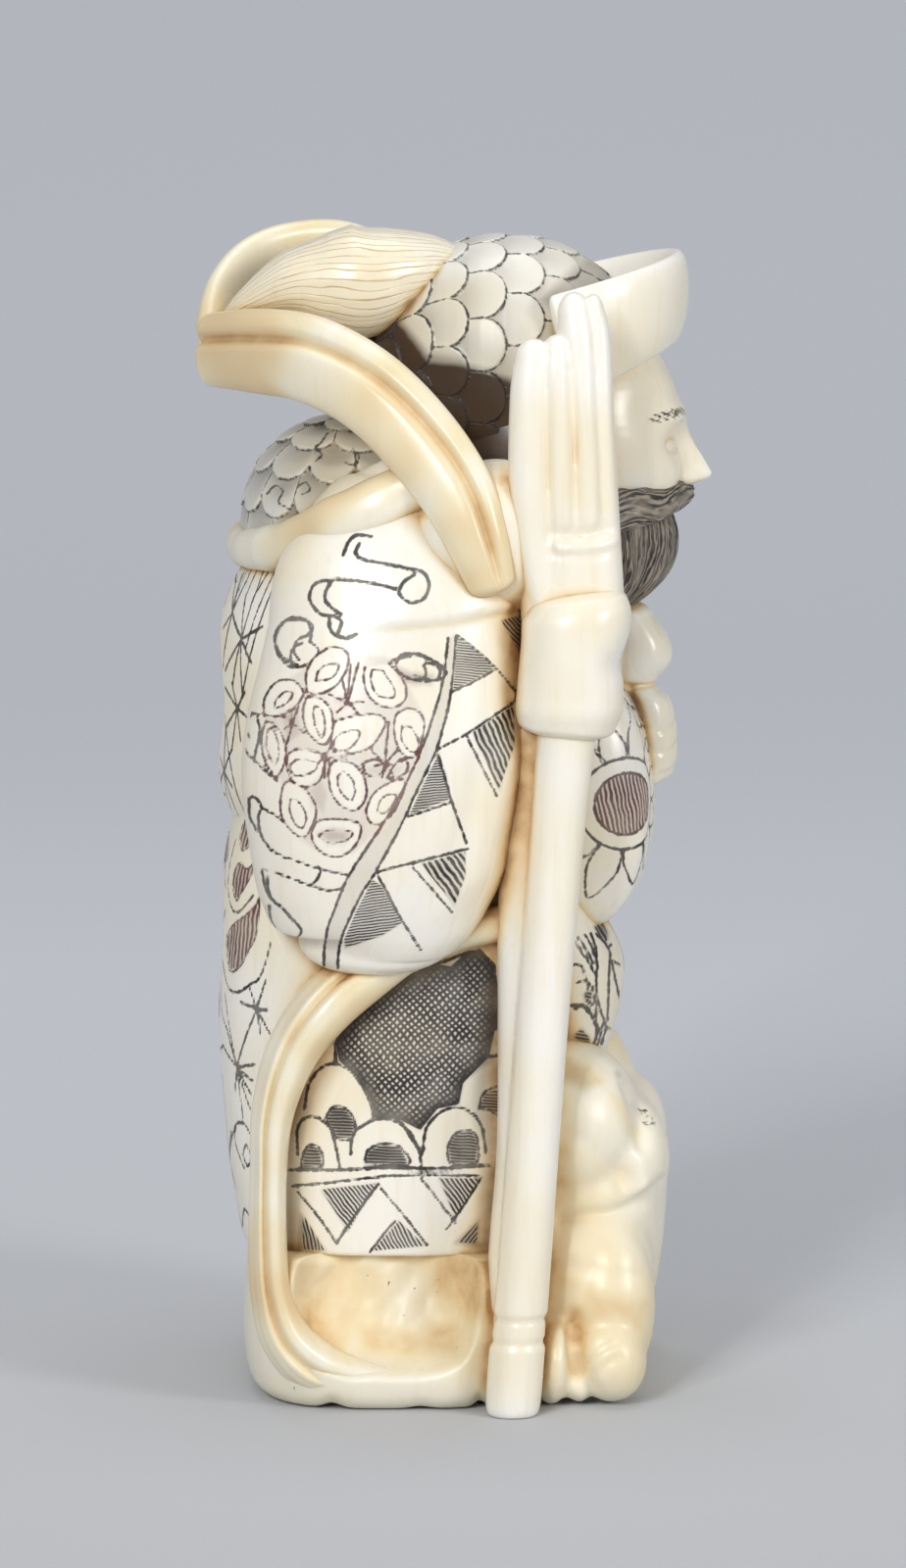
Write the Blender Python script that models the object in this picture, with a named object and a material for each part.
"""Carved ivory netsuke: a robed, bearded sage with a scaled cap, a raised hand and a staff.

The figure looks along +X, its right side faces -Y, and it stands on Z = 0 with the
origin under the middle of its base. Every carved form is one closed solid. Forms that
grow out of each other are fitted: the one nearer the viewer keeps its whole shape, and
the one behind it is cut back by the clearance.
"""

import math

import bmesh
import bpy
from mathutils import Matrix, Vector
from mathutils.bvhtree import BVHTree

MM = 0.001

# General make
CLEARANCE = 0.3 * MM
FORM_SIDES = 16
FINE_SIDES = 10
RINGS_PER_SPAN = 2
BALL_SEGMENTS = 18
BALL_RINGS = 10

# Base block, and the plinth under the creature
BASE_HEIGHT = 6.4 * MM
BASE_HALF_LENGTH = 7.0 * MM
BASE_HALF_WIDTH = 10.3 * MM
BASE_CENTRE_X = -2.35 * MM
SCOOP_DEPTH = 3.6 * MM
SCOOP_HALF_LENGTH = 5.0 * MM
PLINTH_HEIGHT = 1.3 * MM
PLINTH_HALF_LENGTH = 8.4 * MM
PLINTH_HALF_WIDTH = 8.8 * MM

# Robe, from hem to neck
HEM_GAP = 0.3 * MM
SKIRT_HEIGHT = 20.6 * MM
JACKET_HEIGHT = 14.0 * MM
ROBE_HALF_LENGTH = 9.1 * MM
ROBE_HALF_WIDTH = 8.0 * MM
ROBE_CENTRE_X = -1.5 * MM
COLLAR_HALF_LENGTH = 4.6 * MM
FLAP_THICKNESS = 1.9 * MM

# Cord passage in the back
KNOT_HOLE_RADIUS = 3.3 * MM
CORD_HOLE_RADIUS = 3.05 * MM
KNOT_HOLE_ABOVE_WAIST = 5.0 * MM
CORD_HOLE_BELOW_WAIST = 6.2 * MM
CORD_HOLE_DEPTH = 8.4 * MM

# Sleeves and arms
SLEEVE_HALF_LENGTH = 6.3 * MM
SLEEVE_HALF_DEPTH = 4.3 * MM
SLEEVE_LENGTH = 21.0 * MM
SLEEVE_OUT = 8.4 * MM
FRONT_SLEEVE_DROP = 6.2 * MM
FRONT_SLEEVE_THICKNESS = 3.3 * MM
CAPE_HALF_DROP = 3.9 * MM
CAPE_HALF_DEPTH = 3.45 * MM

# Raised right hand, cuff and staff
CUFF_RADIUS = 2.55 * MM
CUFF_LENGTH = 6.3 * MM
HAND_HALF_WIDTH = 2.3 * MM
HAND_HALF_THICKNESS = 1.1 * MM
PALM_LENGTH = 8.5 * MM
FINGER_LENGTH = 5.8 * MM
STAFF_RADIUS = 1.3 * MM
STAFF_LEAN = 2.3 * MM
STAFF_OUT = 10.4 * MM
WEB_HALF_WIDTH = 1.7 * MM
WEB_HALF_DEPTH = 1.7 * MM

# Left fist
FIST_HALF_DEPTH = 2.0 * MM
FIST_HALF_WIDTH = 1.9 * MM

# Head and headdress
HEAD_HALF_LENGTH = 5.0 * MM
HEAD_HALF_WIDTH = 4.5 * MM
HEAD_HALF_HEIGHT = 6.2 * MM
HEAD_FORWARD = 6.2 * MM
HEAD_ABOVE_COLLAR = 2.3 * MM
HOOD_THICKNESS = 1.2 * MM
NOSE_LENGTH = 1.0 * MM
BEARD_LENGTH = 6.6 * MM
BEARD_HALF_WIDTH = 3.5 * MM
BRIM_RADIUS = 5.35 * MM
BRIM_HALF_HEIGHT = 2.4 * MM
BRIM_THICKNESS = 1.15 * MM
BRIM_RISE = 1.85 * MM
CAP_HALF_LENGTH = 6.4 * MM
CAP_HALF_WIDTH = 5.2 * MM
CAP_HALF_HEIGHT = 5.8 * MM
PLUME_HALF_HEIGHT = 2.75 * MM
PLUME_HALF_WIDTH = 3.0 * MM
RIBBON_HALF_WIDTH = 1.95 * MM
RIBBON_HALF_THICKNESS = 0.95 * MM
TAIL_REACH = 10.7 * MM
TAIL_ABOVE_CAP = 0.6 * MM

# Bundle and roll on the shoulders
BUNDLE_HALF_LENGTH = 5.0 * MM
BUNDLE_HALF_WIDTH = 7.2 * MM
BUNDLE_HALF_HEIGHT = 4.4 * MM
ROLL_RADIUS = 1.2 * MM

# Drapes that frame the sides, and the creature at the feet
DRAPE_HALF_WIDTH = 1.2 * MM
DRAPE_HALF_THICKNESS = 1.5 * MM
CREATURE_HALF_LENGTH = 4.75 * MM
CREATURE_HALF_WIDTH = 7.8 * MM
CREATURE_HEIGHT = 15.9 * MM
CHEEK_RADIUS = 3.5 * MM
HAUNCH_RADIUS = 3.3 * MM
SNOUT_RADIUS = 1.15 * MM
PAW_RADIUS = 1.6 * MM

# Heights and places that follow from the sizes above
HEM_Z = BASE_HEIGHT + HEM_GAP
WAIST_Z = HEM_Z + SKIRT_HEIGHT
COLLAR_Z = WAIST_Z + JACKET_HEIGHT
SHOULDER_Z = COLLAR_Z - 3.4 * MM
HEAD = Vector((HEAD_FORWARD, 0, COLLAR_Z + HEAD_ABOVE_COLLAR))
CAP = HEAD + Vector((-3.5 * MM, 0, 3.6 * MM))
BRIM = HEAD + Vector((-1.05 * MM, 0, 4.8 * MM))
HAND_Y = -(SLEEVE_OUT + 1.7 * MM)
CUFF_FOOT = Vector((5.5 * MM, HAND_Y, WAIST_Z + 3.9 * MM))
CUFF_TOP = CUFF_FOOT + Vector((0.6 * MM, 0, CUFF_LENGTH))

X_AXIS = Vector((1, 0, 0))
Y_AXIS = Vector((0, 1, 0))
Z_AXIS = Vector((0, 0, 1))

IVORY = (0.86, 0.80, 0.67)
WARM_IVORY = (0.84, 0.75, 0.58)
INKED_IVORY = (0.66, 0.63, 0.55)
HAIR_INK = (0.33, 0.29, 0.26)


def clear_scene():
    """Remove every object that the file opened with."""
    for obj in list(bpy.data.objects):
        bpy.data.objects.remove(obj, do_unlink=True)


def ivory(name, colour):
    """A polished ivory material with its own name and tint."""
    material = bpy.data.materials.new(name)
    material.use_nodes = True
    shader = material.node_tree.nodes["Principled BSDF"]
    shader.inputs["Base Color"].default_value = (*colour, 1)
    shader.inputs["Roughness"].default_value = 0.28
    shader.inputs["Metallic"].default_value = 0.0
    return material


def smooth_value(stops, place):
    """The value at a place from 0 to len(stops) - 1 on a smooth curve through the stops."""
    last = len(stops) - 1
    span = min(int(place), last - 1)
    part = place - span
    before = stops[max(span - 1, 0)]
    start = stops[span]
    end = stops[span + 1]
    after = stops[min(span + 2, last)]
    leave = (end - before) * 0.5
    arrive = (after - start) * 0.5
    return (
        start * (2 * part**3 - 3 * part**2 + 1)
        + leave * (part**3 - 2 * part**2 + part)
        + end * (3 * part**2 - 2 * part**3)
        + arrive * (part**3 - part**2)
    )


def rounded(value, squareness):
    """A sine or cosine pushed outwards, which makes a circle into a rounded square."""
    return math.copysign(abs(value) ** (2 / squareness), value)


def ring_places(centre, side, outward, half_side, half_out, squareness, groove, sides):
    """Points round one section of a form; groove sinks a furrow in its outer face."""
    places = []
    for step in range(sides):
        angle = 2 * math.pi * step / sides
        across = rounded(math.cos(angle), squareness)
        out = rounded(math.sin(angle), squareness)
        if out > 0:
            out *= 1 - groove * math.exp(-((across / 0.3) ** 2))
        places.append(centre + side * across * half_side + outward * out * half_out)
    return places


def grow_ring(mesh, ring, places):
    """Extrude the open ring and move the new ring to its places."""
    edges = [edge for edge in mesh.edges if edge.is_boundary or edge.is_wire]
    edges = [edge for edge in edges if set(edge.verts) <= set(ring)]
    made = bmesh.ops.extrude_edge_only(mesh, edges=edges)["geom"]
    fresh = {item for item in made if isinstance(item, bmesh.types.BMVert)}
    following = []
    for vert, place in zip(ring, places):
        twin = next(e.other_vert(vert) for e in vert.link_edges if e.other_vert(vert) in fresh)
        twin.co = place
        following.append(twin)
    return following


def drawn_form(
    stations, outward, squareness=2.2, groove=0.0, domes=(0.0, 0.0), level=False, sides=FORM_SIDES
):
    """A solid drawn through stations of (centre, half width, half depth).

    outward is the direction of the depth, one for the whole form or one for each
    station. A dome of the given height rounds off each end. A level form keeps its
    sections flat, as a block standing upright does.
    """
    centres = [station[0] for station in stations]
    widths = [station[1] for station in stations]
    depths = [station[2] for station in stations]
    facings = outward if isinstance(outward, list) else [outward] * len(stations)
    spans = len(stations) - 1
    sections = []
    for step in range(spans * RINGS_PER_SPAN + 1):
        place = step / RINGS_PER_SPAN
        ahead = smooth_value(centres, min(place + 0.02, spans))
        behind = smooth_value(centres, max(place - 0.02, 0))
        along = Z_AXIS.copy() if level else (ahead - behind).normalized()
        facing = smooth_value(facings, place)
        facing = (facing - along * facing.dot(along)).normalized()
        sections.append([
            smooth_value(centres, place),
            along,
            facing,
            smooth_value(widths, place),
            smooth_value(depths, place),
        ])
    sections = domed(sections, domes)
    mesh = bmesh.new()
    ring = bmesh.ops.create_circle(mesh, segments=sides, radius=1)["verts"]
    for number, (centre, along, facing, width, depth) in enumerate(sections):
        side = facing.cross(along)
        places = ring_places(centre, side, facing, width, depth, squareness, groove, sides)
        if number == 0:
            for vert, place in zip(ring, places):
                vert.co = place
        else:
            ring = grow_ring(mesh, ring, places)
    bmesh.ops.holes_fill(mesh, edges=mesh.edges, sides=sides)
    bmesh.ops.recalc_face_normals(mesh, faces=mesh.faces)
    return mesh


def domed(sections, domes):
    """Add shrinking sections beyond each end that has a dome."""
    shrink = [math.radians(angle) for angle in (32, 60, 80)]
    first, last = sections[0], sections[-1]
    foot = [
        [first[0] - first[1] * domes[0] * math.sin(a), first[1], first[2],
         first[3] * math.cos(a), first[4] * math.cos(a)]
        for a in reversed(shrink)
    ]
    head = [
        [last[0] + last[1] * domes[1] * math.sin(a), last[1], last[2],
         last[3] * math.cos(a), last[4] * math.cos(a)]
        for a in shrink
    ]
    return (foot if domes[0] else []) + sections + (head if domes[1] else [])


def ball_form(centre, radii, tilt=0.0):
    """An ellipsoid; tilt turns it about Y, nose down, in degrees."""
    mesh = bmesh.new()
    bmesh.ops.create_uvsphere(mesh, u_segments=BALL_SEGMENTS, v_segments=BALL_RINGS, radius=1)
    turn = Matrix.Rotation(math.radians(tilt), 4, "Y")
    stretch = Matrix.Diagonal((*radii, 1))
    bmesh.ops.transform(mesh, matrix=Matrix.Translation(centre) @ turn @ stretch, verts=mesh.verts)
    return mesh


def rod_form(start, end, radius):
    """A straight round bar, used to bore holes."""
    mesh = bmesh.new()
    axis = end - start
    bmesh.ops.create_cone(
        mesh, cap_ends=True, segments=16, radius1=radius, radius2=radius, depth=axis.length
    )
    turn = axis.to_track_quat("Z", "Y").to_matrix().to_4x4()
    bmesh.ops.transform(
        mesh, matrix=Matrix.Translation((start + end) / 2) @ turn, verts=mesh.verts
    )
    return mesh


def mirrored(stations):
    """The same stations on the far side of the figure."""
    flip = Vector((1, -1, 1))
    return [(centre * flip, width, depth) for centre, width, depth in stations]


def to_object(name, mesh, collection, material=None):
    """Store a bmesh as a named object, in triangles so that every face is flat."""
    data = bpy.data.meshes.new(name)
    bmesh.ops.triangulate(mesh, faces=mesh.faces)
    mesh.to_mesh(data)
    mesh.free()
    obj = bpy.data.objects.new(name, data)
    collection.objects.link(obj)
    if material:
        data.materials.append(material)
    return obj


def grown_cutter(obj, cutters):
    """A copy of a form, larger all over by the clearance, that cuts its neighbours."""
    mesh = bmesh.new()
    mesh.from_mesh(obj.data)
    mesh.normal_update()
    moves = [vert.normal * CLEARANCE for vert in mesh.verts]
    for vert, move in zip(mesh.verts, moves):
        vert.co += move
    return helper_object(obj.name + "_cutter", mesh, cutters)


def helper_object(name, mesh, collection):
    """A shape that only joins or cuts others, so it's left out of renders."""
    helper = to_object(name, mesh, collection)
    helper.hide_render = True
    helper.display_type = "WIRE"
    return helper


def surface_tree(obj):
    """The surface of an object whose place is in its mesh, ready for intersection tests."""
    places = [vert.co for vert in obj.data.vertices]
    faces = [face.vertices for face in obj.data.polygons]
    return BVHTree.FromPolygons(places, faces)


def combine(obj, other, operation):
    """Join another closed mesh to an object, or cut it away, and tidy what results."""
    modifier = obj.modifiers.new(other.name, "BOOLEAN")
    modifier.operation = operation
    modifier.object = other
    modifier.solver = "EXACT"
    bpy.context.view_layer.update()
    graph = bpy.context.evaluated_depsgraph_get()
    data = bpy.data.meshes.new_from_object(obj.evaluated_get(graph))
    obj.modifiers.clear()
    mesh = bmesh.new()
    mesh.from_mesh(data)
    bmesh.ops.remove_doubles(mesh, verts=mesh.verts, dist=0.004 * MM)
    bmesh.ops.dissolve_degenerate(mesh, edges=mesh.edges, dist=0.004 * MM)
    bodies = separate_bodies(mesh)
    bodies.sort(key=len, reverse=True)
    for crumb in bodies[1:]:
        bmesh.ops.delete(mesh, geom=crumb, context="VERTS")
    bmesh.ops.triangulate(mesh, faces=mesh.faces)
    mesh.to_mesh(data)
    mesh.free()
    obj.data = data


def fit(obj, cutters):
    """Cut an object by each cutter whose surface crosses its own."""
    for cutter in cutters:
        if surface_tree(obj).overlap(surface_tree(cutter)):
            combine(obj, cutter, "DIFFERENCE")


def separate_bodies(mesh):
    """Lists of the vertices that hang together."""
    left = set(mesh.verts)
    bodies = []
    while left:
        queue = [left.pop()]
        body = []
        while queue:
            vert = queue.pop()
            body.append(vert)
            for edge in vert.link_edges:
                other = edge.other_vert(vert)
                if other in left:
                    left.remove(other)
                    queue.append(other)
        bodies.append(body)
    return bodies


def base_forms():
    """The block that the figure stands on, and the low plinth in front of it."""
    foot = Vector((BASE_CENTRE_X, 0, 0))
    length, width = BASE_HALF_LENGTH, BASE_HALF_WIDTH
    block = drawn_form([
        (foot, length * 0.89, width * 0.89),
        (foot + Z_AXIS * BASE_HEIGHT * 0.2, length * 0.98, width * 0.98),
        (foot + Z_AXIS * BASE_HEIGHT * 0.55, length, width),
        (foot + Z_AXIS * BASE_HEIGHT * 0.9, length * 0.98, width * 0.97),
        (foot + Z_AXIS * BASE_HEIGHT, length * 0.93, width * 0.92),
    ], Y_AXIS, squareness=3.4, level=True)
    middle = Vector((0, 0, 0))
    plinth = drawn_form([
        (middle, PLINTH_HALF_LENGTH * 0.95, PLINTH_HALF_WIDTH * 0.94),
        (middle + Z_AXIS * PLINTH_HEIGHT * 0.4, PLINTH_HALF_LENGTH * 0.98, PLINTH_HALF_WIDTH * 0.98),
        (middle + Z_AXIS * PLINTH_HEIGHT, PLINTH_HALF_LENGTH, PLINTH_HALF_WIDTH),
    ], Y_AXIS, squareness=2.7, level=True)
    return [block, plinth]


def scoop_form(sign):
    """The hollow carved into one side of the base, open at its top."""
    centre = Vector((BASE_CENTRE_X - 0.4 * MM, sign * (BASE_HALF_WIDTH + 1.3 * MM), BASE_HEIGHT * 1.08))
    return ball_form(centre, (SCOOP_HALF_LENGTH, SCOOP_DEPTH + 1.3 * MM, BASE_HEIGHT * 0.9))


def skirt_form():
    """The lower robe, from the hem above the base to the waist."""
    foot = Vector((ROBE_CENTRE_X, 0, HEM_Z))
    length, width = ROBE_HALF_LENGTH, ROBE_HALF_WIDTH
    rise = Z_AXIS * SKIRT_HEIGHT
    return drawn_form([
        (foot - X_AXIS * 0.6 * MM, length * 0.81, width * 0.92),
        (foot - X_AXIS * 0.45 * MM + rise * 0.18, length * 0.89, width * 0.96),
        (foot - X_AXIS * 0.15 * MM + rise * 0.42, length * 0.97, width),
        (foot + X_AXIS * 0.15 * MM + rise * 0.6, length, width),
        (foot + rise * 0.82, length * 0.98, width * 0.97),
        (foot + rise, length * 0.88, width * 0.92),
    ], Y_AXIS, squareness=3.0, level=True)


def jacket_form():
    """The upper robe, from just under the waist to the collar."""
    foot = Vector((ROBE_CENTRE_X, 0, WAIST_Z - 1.2 * MM))
    length, width = ROBE_HALF_LENGTH, ROBE_HALF_WIDTH
    rise = Z_AXIS * (JACKET_HEIGHT + 1.2 * MM)
    return drawn_form([
        (foot - X_AXIS * 0.3 * MM, length * 0.9, width * 1.0),
        (foot - X_AXIS * 0.6 * MM + rise * 0.3, length * 0.94, width * 1.06),
        (foot - X_AXIS * 0.7 * MM + rise * 0.6, length * 0.91, width * 1.06),
        (foot + rise * 0.84, length * 0.77, width * 0.95),
        (foot + X_AXIS * 1.7 * MM + rise, COLLAR_HALF_LENGTH, COLLAR_HALF_LENGTH * 1.1),
    ], Y_AXIS, squareness=2.3, level=True)


def cord_hole_forms():
    """Bars that bore the two holes in the back and the channel that joins them inside."""
    inner = ROBE_CENTRE_X - ROBE_HALF_LENGTH + CORD_HOLE_DEPTH
    outer = inner - CORD_HOLE_DEPTH - 4 * MM
    high = WAIST_Z + KNOT_HOLE_ABOVE_WAIST
    low = WAIST_Z - CORD_HOLE_BELOW_WAIST
    channel = inner - CORD_HOLE_RADIUS
    ends = {
        "knot_hole": (Vector((outer, 0, high)), Vector((inner, 0, high)), KNOT_HOLE_RADIUS),
        "cord_hole": (Vector((outer, 0, low)), Vector((inner, 0, low)), CORD_HOLE_RADIUS),
        "channel": (Vector((channel, 0, low)), Vector((channel, 0, high)), CORD_HOLE_RADIUS * 0.98),
    }
    return [(kind, rod_form(*places)) for kind, places in ends.items()]


def flap_form():
    """The front flap of the robe, which hangs over the skirt above the creature."""
    foot = Vector((6.2 * MM, 0, HEM_Z + SKIRT_HEIGHT * 0.36))
    drop = Z_AXIS * SKIRT_HEIGHT
    half = ROBE_HALF_WIDTH * 0.64
    return drawn_form([
        (foot - X_AXIS * 0.6 * MM, FLAP_THICKNESS * 0.8, half * 0.82),
        (foot + drop * 0.16, FLAP_THICKNESS, half * 0.95),
        (foot + drop * 0.3 - X_AXIS * 0.4 * MM, FLAP_THICKNESS, half),
        (foot + drop * 0.46 - X_AXIS * 1.4 * MM, FLAP_THICKNESS, half),
    ], Y_AXIS, level=True)


def sleeve_stations():
    """The right sleeve, from shoulder to its rounded lower end."""
    top = SHOULDER_Z + 4.5 * MM
    length, depth = SLEEVE_HALF_LENGTH, SLEEVE_HALF_DEPTH
    bends = [
        (0.0, 0.0, 0.77, 0.33, 0.5),
        (0.115, -1.7, 0.81, 0.7, 0.77),
        (0.265, -2.2, 0.89, 0.91, 0.9),
        (0.47, -2.6, 0.97, 0.97, 0.97),
        (0.66, -3.0, 1.0, 1.0, 1.0),
        (0.85, -2.75, 0.98, 0.9, 0.95),
        (0.95, -2.85, 0.95, 0.76, 0.83),
        (1.0, -3.2, 0.94, 0.6, 0.66),
    ]
    return [
        (Vector((ahead * MM, -SLEEVE_OUT * out, top - SLEEVE_LENGTH * fall)), length * long, depth * deep)
        for fall, ahead, out, long, deep in bends
    ]


def front_sleeve_stations():
    """The left sleeve where it hangs from the forearm across the belly."""
    level = WAIST_Z + 0.0 * MM
    drop, thick = FRONT_SLEEVE_DROP, FRONT_SLEEVE_THICKNESS
    return [
        (Vector((-0.5 * MM, SLEEVE_OUT, level)), thick * 0.9, drop * 0.8),
        (Vector((4.4 * MM, SLEEVE_OUT * 0.72, level)), thick, drop * 0.95),
        (Vector((6.1 * MM, SLEEVE_OUT * 0.2, level)), thick, drop),
        (Vector((6.1 * MM, -SLEEVE_OUT * 0.36, level)), thick * 0.92, drop * 0.94),
    ]


def cape_stations():
    """The cloth that lies over the right shoulder, between the ribbon and the wrist."""
    line = SHOULDER_Z + 2.3 * MM
    drop, depth = CAPE_HALF_DROP, CAPE_HALF_DEPTH
    return [
        (Vector((-1.2 * MM, -SLEEVE_OUT * 0.83, line)), drop * 0.56, depth * 0.7),
        (Vector((0.4 * MM, -SLEEVE_OUT * 0.88, line)), drop * 0.87, depth * 0.96),
        (Vector((2.4 * MM, -SLEEVE_OUT * 0.91, line + 0.4 * MM)), drop, depth * 0.97),
        (Vector((4.6 * MM, -SLEEVE_OUT * 0.95, line + 1.1 * MM)), drop * 0.87, depth * 0.73),
        (Vector((5.4 * MM, -SLEEVE_OUT * 0.96, line + 1.1 * MM)), drop * 0.67, depth * 0.58),
    ]


def drape_stations():
    """The thick fold that frames the right side from the sleeve down to the base."""
    out = -(ROBE_HALF_WIDTH + 0.7 * MM)
    width, thick = DRAPE_HALF_WIDTH, DRAPE_HALF_THICKNESS
    top = SHOULDER_Z + 4.5 * MM - SLEEVE_LENGTH
    back = BASE_CENTRE_X - BASE_HALF_LENGTH * 0.83
    return [
        (Vector((back + 7.0 * MM, out + 0.8 * MM, top + 0.5 * MM)), width * 0.9, thick * 0.8),
        (Vector((back + 4.4 * MM, out + 0.3 * MM, top - 1.2 * MM)), width * 1.12, thick),
        (Vector((back + 2.5 * MM, out, top - 2.9 * MM)), width * 1.12, thick),
        (Vector((back + 1.0 * MM, out, top - 5.2 * MM)), width, thick),
        (Vector((back + 0.2 * MM, out, top - 8.4 * MM)), width * 0.8, thick),
        (Vector((back, out, BASE_HEIGHT + 2.2 * MM)), width * 0.72, thick),
        (Vector((back + 0.15 * MM, out, BASE_HEIGHT * 0.84)), width * 0.8, thick),
        (Vector((back + 0.8 * MM, out, BASE_HEIGHT * 0.52)), width * 0.95, thick),
        (Vector((back + 2.15 * MM, out, BASE_HEIGHT * 0.3)), width * 1.04, thick * 0.93),
        (Vector((back + 3.85 * MM, out + 0.1 * MM, BASE_HEIGHT * 0.22)), width * 0.8, thick * 0.87),
    ]


def hand_forms():
    """Palm, four fingers and thumb of the raised right hand."""
    wrist = CUFF_TOP + Vector((-0.4 * MM, 0, -0.8 * MM))
    width, thick = HAND_HALF_WIDTH, HAND_HALF_THICKNESS
    rise = Z_AXIS * PALM_LENGTH
    palm = drawn_form([
        (wrist, width * 0.88, thick * 1.15),
        (wrist + rise * 0.5 - X_AXIS * 0.1 * MM, width, thick * 1.1),
        (wrist + rise - X_AXIS * 0.2 * MM, width * 1.02, thick),
    ], Y_AXIS, squareness=3.0, domes=(0, 0.8 * MM))
    knuckle = wrist + rise * 0.78
    reach = Z_AXIS * FINGER_LENGTH
    fingers = []
    for across, stretch, half, back in (
        (-0.58, 0.95, 0.42, -0.35),
        (0.1, 0.93, 0.34, -0.1),
        (0.34, 1.24, 0.36, 0.75),
        (0.84, 1.18, 0.3, 1.0),
    ):
        root = knuckle + Vector((across * width, back * thick, 0))
        fingers.append(drawn_form([
            (root - reach * 0.25, half * width, thick * 0.8),
            (root + reach * 0.4, half * width, thick * 0.82),
            (root + reach * stretch, half * width * 0.85, thick * 0.72),
        ], Y_AXIS, domes=(0, half * width), sides=FINE_SIDES))
    thumb_root = wrist + Vector((width * 0.7, thick * 0.8, PALM_LENGTH * 0.35))
    thumb = drawn_form([
        (thumb_root, 0.7 * MM, 0.7 * MM),
        (thumb_root + Vector((0.3 * MM, 0.8 * MM, 2.4 * MM)), 0.75 * MM, 0.7 * MM),
        (thumb_root + Vector((0.0, 1.1 * MM, 4.6 * MM)), 0.6 * MM, 0.6 * MM),
    ], Y_AXIS, domes=(0, 0.6 * MM), sides=FINE_SIDES)
    return [palm, *fingers, thumb]


def staff_forms():
    """The staff, leaning to the cuff, and the web of ivory that holds it to the robe."""
    foot = Vector((CUFF_FOOT.x - STAFF_LEAN, -STAFF_OUT, 0))
    top = Vector((CUFF_FOOT.x, -STAFF_OUT, CUFF_FOOT.z + 0.8 * MM))
    marks = ((0.0, 0.9), (0.08, 1.0), (0.15, 0.95), (0.5, 0.93), (1.0, 1.05))
    rod = drawn_form(
        [(foot.lerp(top, mark), STAFF_RADIUS * size, STAFF_RADIUS * size) for mark, size in marks],
        Y_AXIS, squareness=2.0, level=True,
    )
    inward = Y_AXIS * (STAFF_RADIUS + WEB_HALF_DEPTH * 0.35)
    spans = ((0.02, -0.1, 0.7), (0.2, -0.3, 0.75), (0.38, -0.5, 0.7), (0.57, -0.75, 0.82),
             (0.73, -0.9, 0.97), (0.97, -0.55, 0.9))
    web = drawn_form([
        (foot.lerp(top, mark) + inward + X_AXIS * back * MM, WEB_HALF_WIDTH * size, WEB_HALF_DEPTH)
        for mark, back, size in spans
    ], Y_AXIS, squareness=2.5, level=True)
    return [rod, web]


def cuff_form():
    """The rolled sleeve end round the right wrist."""
    return drawn_form([
        (CUFF_FOOT, CUFF_RADIUS * 0.92, CUFF_RADIUS * 0.9),
        (CUFF_FOOT.lerp(CUFF_TOP, 0.3), CUFF_RADIUS, CUFF_RADIUS),
        (CUFF_FOOT.lerp(CUFF_TOP, 0.7), CUFF_RADIUS * 0.98, CUFF_RADIUS * 0.96),
        (CUFF_TOP, CUFF_RADIUS * 0.84, CUFF_RADIUS * 0.8),
    ], Y_AXIS, domes=(0.5 * MM, 0.5 * MM))


def fist_form():
    """The left fist in front of the chest, a thumb lobe over a finger lobe."""
    foot = Vector((8.7 * MM, 0.4 * MM, WAIST_Z - 0.3 * MM))
    width, depth = FIST_HALF_WIDTH, FIST_HALF_DEPTH
    return drawn_form([
        (foot, depth * 0.4, width * 0.6),
        (foot + Z_AXIS * 1.6 * MM, depth * 0.8, width * 0.95),
        (foot + Z_AXIS * 3.8 * MM, depth, width),
        (foot + Z_AXIS * 5.0 * MM, depth * 0.8, width * 0.9),
        (foot + Z_AXIS * 5.7 * MM, depth * 0.5, width * 0.8),
        (foot + Z_AXIS * 6.7 * MM, depth * 0.95, width * 0.9),
        (foot + Z_AXIS * 8.2 * MM, depth * 0.75, width * 0.75),
        (foot + Z_AXIS * 9.2 * MM, depth * 0.3, width * 0.4),
    ], Y_AXIS, level=True)


def face_form():
    """The head with a plain nose, brow and cheeks."""
    mesh = ball_form(HEAD, (HEAD_HALF_LENGTH, HEAD_HALF_WIDTH, HEAD_HALF_HEIGHT))
    nose = HEAD + Vector((HEAD_HALF_LENGTH, 0, -HEAD_HALF_HEIGHT * 0.12))
    for vert in mesh.verts:
        offset = vert.co - nose
        near = (offset.y / (0.9 * MM)) ** 2 + (offset.z / (1.4 * MM)) ** 2
        if offset.x > -HEAD_HALF_LENGTH:
            vert.co.x += NOSE_LENGTH * math.exp(-near)
    return mesh


def beard_form():
    """The beard, from under the nose to its blunt tip on the chest."""
    top = HEAD + Vector((1.8 * MM, 0, -HEAD_HALF_HEIGHT * 0.3))
    drop = Z_AXIS * -BEARD_LENGTH
    width, depth = BEARD_HALF_WIDTH, HEAD_HALF_LENGTH * 0.62
    return drawn_form([
        (top - X_AXIS * 0.2 * MM, depth * 0.9, width * 0.9),
        (top + drop * 0.3, depth, width),
        (top + drop * 0.62 - X_AXIS * 0.3 * MM, depth * 0.84, width * 0.86),
        (top + drop * 0.88 - X_AXIS * 1.0 * MM, depth * 0.56, width * 0.58),
        (top + drop - X_AXIS * 1.4 * MM, depth * 0.3, width * 0.3),
    ], Y_AXIS, level=True)


def hood_form():
    """The hood over the back and sides of the head."""
    radii = (
        HEAD_HALF_LENGTH + HOOD_THICKNESS,
        HEAD_HALF_WIDTH + HOOD_THICKNESS,
        HEAD_HALF_HEIGHT + HOOD_THICKNESS * 0.4,
    )
    return ball_form(HEAD - X_AXIS * 1.4 * MM, radii)


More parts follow.
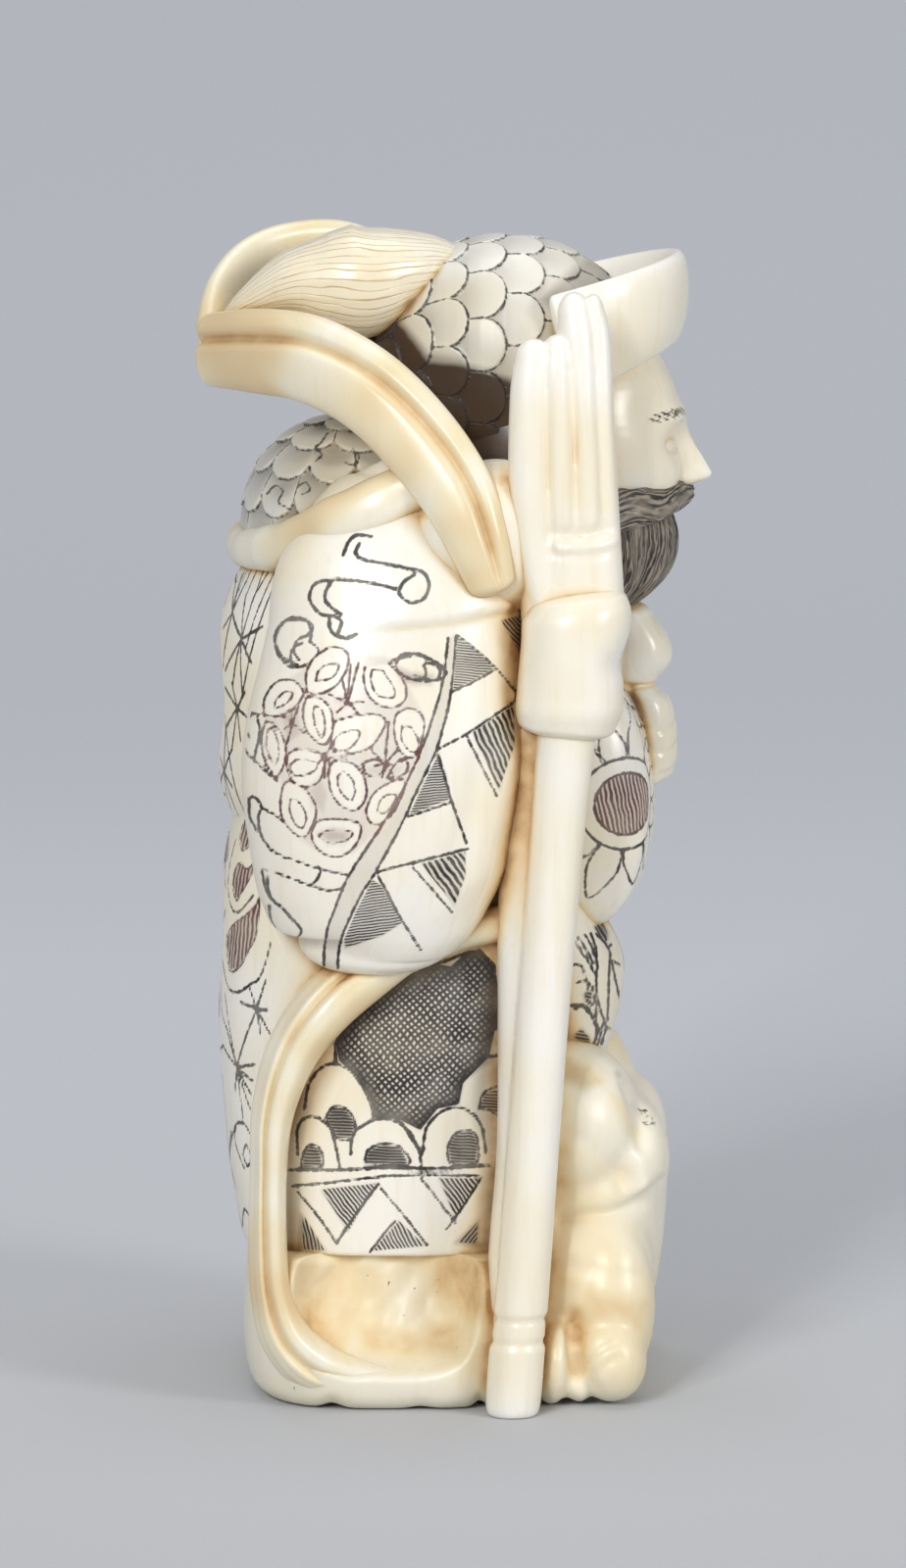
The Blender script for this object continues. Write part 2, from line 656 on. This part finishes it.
def face_opening_form():
    """The rounded cut in the hood that shows the face."""
    centre = HEAD + Vector((HEAD_HALF_LENGTH + 1.9 * MM, 0, -3.2 * MM))
    radii = (HEAD_HALF_LENGTH + 1.6 * MM, HEAD_HALF_WIDTH + 0.9 * MM, HEAD_HALF_HEIGHT + 2.4 * MM)
    return ball_form(centre, radii)


def brim_form():
    """The hood's turned-up brim, a standing collar round the brow."""
    reach = math.radians(86)
    steps = 8
    stations = []
    outward = []
    for step in range(steps + 1):
        angle = -reach + 2 * reach * step / steps
        direction = Vector((math.cos(angle), math.sin(angle), 0))
        ahead = math.cos(angle)
        stations.append((
            BRIM + direction * BRIM_RADIUS + Z_AXIS * BRIM_RISE * ahead,
            BRIM_HALF_HEIGHT * (1 - 0.12 * ahead),
            BRIM_THICKNESS / 2 * (0.9 + 0.1 * ahead),
        ))
        outward.append((direction - Z_AXIS * 0.06).normalized())
    return drawn_form(stations, outward, squareness=2.6, domes=(0.4 * MM, 0.4 * MM))


def plume_form():
    """The ribbed leaf that sweeps back from the cap to the tail."""
    root = CAP + Vector((-CAP_HALF_LENGTH * 0.27, -0.5 * MM, CAP_HALF_HEIGHT * 0.64))
    tip = tail_end() + Vector((0.6, -0.5, 1.2)) * MM
    bends = [
        (0.0, 0.0, 0.43, 0.44),
        (0.14, 0.6, 0.73, 0.64),
        (0.3, 0.95, 0.93, 0.88),
        (0.44, 0.9, 1.0, 1.0),
        (0.57, 1.1, 0.93, 0.85),
        (0.73, 1.3, 0.77, 0.58),
        (0.88, 0.9, 0.47, 0.3),
        (1.0, 0.0, 0.2, 0.13),
    ]
    return drawn_form([
        (root.lerp(tip, along) + Vector((0, -0.5, 1)) * lift * MM,
         PLUME_HALF_WIDTH * wide, PLUME_HALF_HEIGHT * high)
        for along, lift, wide, high in bends
    ], Z_AXIS, domes=(0.8 * MM, 0.3 * MM))


def tail_end():
    """Where the two ribbons meet behind the head."""
    return Vector((-TAIL_REACH, 0, CAP.z + TAIL_ABOVE_CAP))


def right_ribbon_form():
    """The near ribbon, which sweeps from the tail down to the right wrist."""
    tail = tail_end()
    foot = Vector((2.6 * MM, -(SLEEVE_OUT + 2.1 * MM), SHOULDER_Z - 0.7 * MM))
    width, thick = RIBBON_HALF_WIDTH, RIBBON_HALF_THICKNESS
    bends = [
        (tail + Vector((0.0, -0.6, 0.0)) * MM, 0.87, (-1, -0.25, 0)),
        (tail + Vector((2.1, -3.7, 0.25)) * MM, 1.0, (-0.75, -1, 0)),
        (tail + Vector((4.3, -6.2, 0.2)) * MM, 1.03, (-0.35, -1, 0.1)),
        (tail + Vector((6.5, -7.9, -0.6)) * MM, 1.0, (-0.2, -1, 0.1)),
        (tail + Vector((8.3, -9.0, -1.9)) * MM, 0.97, (-0.15, -1, 0.1)),
        (foot + Vector((-3.3, 0.7, 6.8)) * MM, 0.95, (-0.1, -1, 0.1)),
        (foot + Vector((-1.2, -0.1, 3.0)) * MM, 0.77, (-0.05, -1, 0)),
        (foot, 0.62, (0, -1, 0)),
    ]
    stations = [(centre, width * size, thick) for centre, size, _ in bends]
    outward = [Vector(facing).normalized() for _, _, facing in bends]
    return drawn_form(stations, outward, groove=0.3, domes=(0.35 * MM, 0.6 * MM))


def left_ribbon_form():
    """The far ribbon, which arches over the tail and comes down on the left shoulder."""
    tail = tail_end()
    foot = Vector((1.6 * MM, SLEEVE_OUT + 1.1 * MM, SHOULDER_Z + 0.7 * MM))
    width, thick = RIBBON_HALF_WIDTH * 0.79, RIBBON_HALF_THICKNESS * 0.85
    bends = [
        (tail + Vector((0.0, 0.3, 0.3)) * MM, 1.04, (-1, 0.3, 0)),
        (tail + Vector((0.5, 2.2, 2.1)) * MM, 1.04, (-0.9, 0.7, 0.3)),
        (tail + Vector((1.8, 4.0, 3.5)) * MM, 0.97, (-0.5, 1, 0.5)),
        (tail + Vector((3.8, 5.3, 4.1)) * MM, 0.94, (-0.3, 1, 0.5)),
        (tail + Vector((6.1, 6.3, 3.9)) * MM, 0.94, (-0.1, 1, 0.4)),
        (tail + Vector((8.5, 7.2, 2.3)) * MM, 0.97, (0, 1, 0.3)),
        (foot + Vector((-1.9, -1.4, 8.4)) * MM, 1.0, (0, 1, 0.2)),
        (foot + Vector((-0.6, -0.6, 4.6)) * MM, 0.97, (0, 1, 0.1)),
        (foot, 0.78, (0, 1, 0)),
    ]
    stations = [(centre, width * size, thick) for centre, size, _ in bends]
    outward = [Vector(facing).normalized() for _, _, facing in bends]
    return drawn_form(stations, outward, groove=0.3, domes=(0.35 * MM, 0.6 * MM))


def bundle_form():
    """The scaled mound across the upper back."""
    centre = Vector((-4.8 * MM, 0, COLLAR_Z - 1.5 * MM))
    return ball_form(centre, (BUNDLE_HALF_LENGTH, BUNDLE_HALF_WIDTH, BUNDLE_HALF_HEIGHT))


def roll_form():
    """The cord-like roll that passes behind the shoulders below the bundle."""
    line = SHOULDER_Z
    right = [
        Vector((0.3 * MM, -SLEEVE_OUT * 1.06, line + 5.2 * MM)),
        Vector((-1.6 * MM, -SLEEVE_OUT * 1.08, line + 4.5 * MM)),
        Vector((-4.7 * MM, -SLEEVE_OUT * 1.04, line + 3.0 * MM)),
        Vector((-7.6 * MM, -SLEEVE_OUT * 0.76, line + 1.6 * MM)),
        Vector((-9.3 * MM, -SLEEVE_OUT * 0.36, line + 1.0 * MM)),
    ]
    middle = Vector((-9.7 * MM, 0, line + 0.8 * MM))
    left = [place * Vector((1, -1, 1)) for place in reversed(right)]
    places = [*right, middle, *left]
    outward = [Vector((min(place.x, 0) - 2 * MM, place.y, 0)).normalized() for place in places]
    stations = [(place, ROLL_RADIUS * 1.08, ROLL_RADIUS * 0.85) for place in places]
    return drawn_form(stations, outward, domes=(0.8 * MM, 0.8 * MM), sides=FINE_SIDES)


def creature_forms():
    """The smooth crouching creature: its body, and on each side a cheek, brow, snout and haunch."""
    foot = Vector((5.4 * MM, 0, PLINTH_HEIGHT + CLEARANCE))
    length, width = CREATURE_HALF_LENGTH, CREATURE_HALF_WIDTH
    rise = Z_AXIS * (CREATURE_HEIGHT - foot.z)
    body = drawn_form([
        (foot - X_AXIS * 0.7 * MM, length * 0.86, width * 0.98),
        (foot + rise * 0.17 - X_AXIS * 0.2 * MM, length * 0.94, width),
        (foot + rise * 0.42, length, width),
        (foot + rise * 0.7, length * 0.99, width * 0.93),
        (foot + rise * 0.87 - X_AXIS * 0.6 * MM, length * 0.85, width * 0.74),
        (foot + rise - X_AXIS * 1.2 * MM, length * 0.54, width * 0.43),
    ], Y_AXIS, squareness=2.6, level=True)
    forms = [body]
    for sign in (-1, 1):
        cheek = foot + Vector((0.3 * MM, sign * width * 0.55, rise.z * 0.73))
        forms.append(ball_form(cheek, (CHEEK_RADIUS, CHEEK_RADIUS, CHEEK_RADIUS * 1.05)))
        brow = foot + Vector((length * 0.65, sign * width * 0.45, rise.z * 0.7))
        forms.append(ball_form(brow, (CHEEK_RADIUS * 0.51, CHEEK_RADIUS * 0.94, CHEEK_RADIUS * 0.83)))
        haunch = foot + Vector((0.8 * MM, sign * width * 0.66, rise.z * 0.28))
        forms.append(ball_form(haunch, (HAUNCH_RADIUS * 1.03, HAUNCH_RADIUS * 0.95, HAUNCH_RADIUS * 1.3)))
        ridge = Vector((0.2 * MM, sign * 2.5 * MM, -4.7 * MM))
        start = foot + Vector((1.2 * MM, sign * width * 0.46, rise.z * 0.91))
        forms.append(drawn_form([
            (start, SNOUT_RADIUS, SNOUT_RADIUS),
            (start + ridge * 0.32 + X_AXIS * 0.7 * MM, SNOUT_RADIUS, SNOUT_RADIUS),
            (start + ridge * 0.7 + X_AXIS * 1.5 * MM, SNOUT_RADIUS * 0.9, SNOUT_RADIUS),
            (start + ridge + X_AXIS * 2.0 * MM, SNOUT_RADIUS * 0.65, SNOUT_RADIUS * 0.75),
        ], Y_AXIS * sign, domes=(0.6 * MM, 0.6 * MM), sides=FINE_SIDES))
    return forms


def paw_form(sign):
    """One forepaw of the creature, resting on the base."""
    place = Vector((7.4 * MM, sign * CREATURE_HALF_WIDTH * 0.98, PAW_RADIUS * 1.2))
    return ball_form(place, (PAW_RADIUS, PAW_RADIUS * 1.25, PAW_RADIUS * 0.9), tilt=-8)


def stand_on_origin(objects):
    """Move the whole figure so that the origin is under the middle of its box."""
    places = [vert.co for obj in objects for vert in obj.data.vertices]
    low = Vector([min(place[axis] for place in places) for axis in range(3)])
    high = Vector([max(place[axis] for place in places) for axis in range(3)])
    middle = (low + high) / 2
    move = Matrix.Translation((-middle.x, -middle.y, -low.z))
    for obj in objects:
        obj.data.transform(move)
    print("moved by", [round(value * 1000, 3) for value in move.translation], "mm")


def united(name, forms, collection, helpers, material):
    """One object from closed forms that overlap, and a cutter grown from each of them."""
    obj = to_object(name, forms[0], collection, material)
    others = [
        helper_object(f"{name}_part_{number}", form, helpers)
        for number, form in enumerate(forms[1:])
    ]
    grown = [grown_cutter(part, helpers) for part in [obj, *others]]
    for other in others:
        combine(obj, other, "UNION")
    return obj, grown


def build():
    clear_scene()
    figure = bpy.data.collections.new("ivory_netsuke")
    cutters = bpy.data.collections.new("cutters")
    for collection in (figure, cutters):
        bpy.context.scene.collection.children.link(collection)
    left_cape = mirrored(cape_stations())
    # The forms stand in the order of their fitting: each is cut by those above it.
    forms = {
        "staff": (staff_forms(), IVORY),
        "right_hand": (hand_forms(), IVORY),
        "right_cuff": (cuff_form(), IVORY),
        "right_ribbon": (right_ribbon_form(), WARM_IVORY),
        "left_ribbon": (left_ribbon_form(), WARM_IVORY),
        "plume": (plume_form(), WARM_IVORY),
        "hood_brim": (brim_form(), IVORY),
        "scaled_cap": (
            ball_form(CAP, (CAP_HALF_LENGTH, CAP_HALF_WIDTH, CAP_HALF_HEIGHT)), INKED_IVORY),
        "beard": (beard_form(), HAIR_INK),
        "left_fist": (fist_form(), IVORY),
        "face": (face_form(), IVORY),
        "hood": (hood_form(), IVORY),
        "shoulder_roll": (roll_form(), WARM_IVORY),
        "right_cape": (drawn_form(cape_stations(), -Y_AXIS, domes=(0.8 * MM, 0.9 * MM)), IVORY),
        "left_cape": (drawn_form(left_cape, Y_AXIS, domes=(0.8 * MM, 0.9 * MM)), IVORY),
        "scaled_bundle": (bundle_form(), INKED_IVORY),
        "front_sleeve": (
            drawn_form(front_sleeve_stations(), Z_AXIS, domes=(0, 1.9 * MM)), INKED_IVORY),
        "right_sleeve": (
            drawn_form(sleeve_stations(), -Y_AXIS, domes=(0.8 * MM, 1.4 * MM)), INKED_IVORY),
        "left_sleeve": (
            drawn_form(mirrored(sleeve_stations()), Y_AXIS, domes=(0.8 * MM, 1.4 * MM)), INKED_IVORY),
        "right_drape": (drawn_form(drape_stations(), -Y_AXIS, groove=0.25), WARM_IVORY),
        "left_drape": (drawn_form(mirrored(drape_stations()), Y_AXIS, groove=0.25), WARM_IVORY),
        "right_paw": (paw_form(-1), IVORY),
        "left_paw": (paw_form(1), IVORY),
        "creature": (creature_forms(), IVORY),
        "robe_flap": (flap_form(), INKED_IVORY),
        "base": (base_forms(), WARM_IVORY),
        "robe_skirt": (skirt_form(), INKED_IVORY),
        "robe_jacket": (jacket_form(), INKED_IVORY),
    }
    objects = []
    grown = []
    for name, (form, colour) in forms.items():
        parts = form if isinstance(form, list) else [form]
        material = ivory("ivory_" + name, colour)
        obj, obj_cutters = united(name, parts, figure, cutters, material)
        objects.append(obj)
        grown.append(obj_cutters)
    extra = {
        "hood": [("face_opening", face_opening_form())],
        "base": [("right_scoop", scoop_form(-1)), ("left_scoop", scoop_form(1))],
        "robe_skirt": cord_hole_forms(),
        "robe_jacket": cord_hole_forms(),
    }
    for number, obj in enumerate(objects):
        fit(obj, [cutter for group in grown[:number] for cutter in group])
        for kind, form in extra.get(obj.name, []):
            fit(obj, [helper_object(f"{obj.name}_{kind}", form, cutters)])
        obj.data.shade_smooth()
        obj.data.set_sharp_from_angle(angle=math.radians(50))
        print(obj.name, "has", len(obj.data.polygons), "triangles")
    stand_on_origin(objects)


build()
